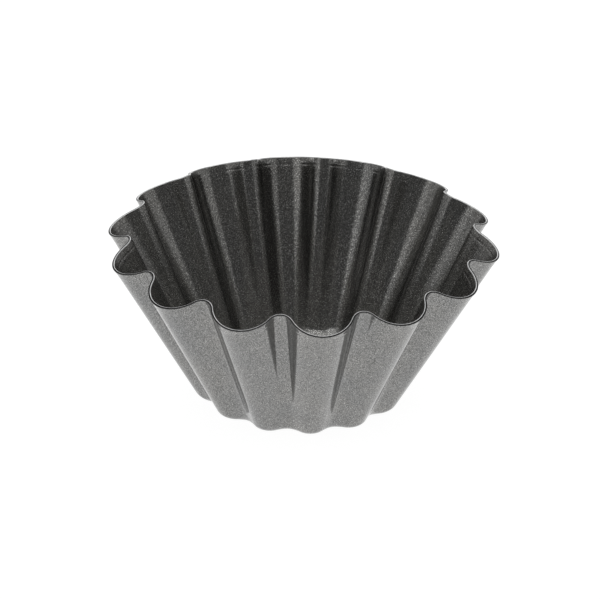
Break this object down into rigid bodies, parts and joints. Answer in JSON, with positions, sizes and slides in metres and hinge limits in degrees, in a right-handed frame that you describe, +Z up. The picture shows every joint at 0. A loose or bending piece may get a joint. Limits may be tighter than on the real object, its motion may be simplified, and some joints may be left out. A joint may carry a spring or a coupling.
{
  "type": "brioche mould",
  "caption": "Small flared baking mould with a fluted wall, a wavy cut rim and a flat base, pressed from one sheet of coated steel.",
  "frame": {"origin": "middle of the flat base's underside", "axes": "+Z up through the middle of the cup to the rim; +X through the middle of one flute"},
  "size_m": [0.08, 0.0784, 0.0354],
  "materials": {
    "coated_steel": "satin metallic-grey non-stick coating with a fine sparkle, darker inside the cup, on thin pressed steel with a bare cut edge"
  },
  "bodies": {
    "root": {"mould_shell": "coated_steel"}
  },
  "joints": []
}
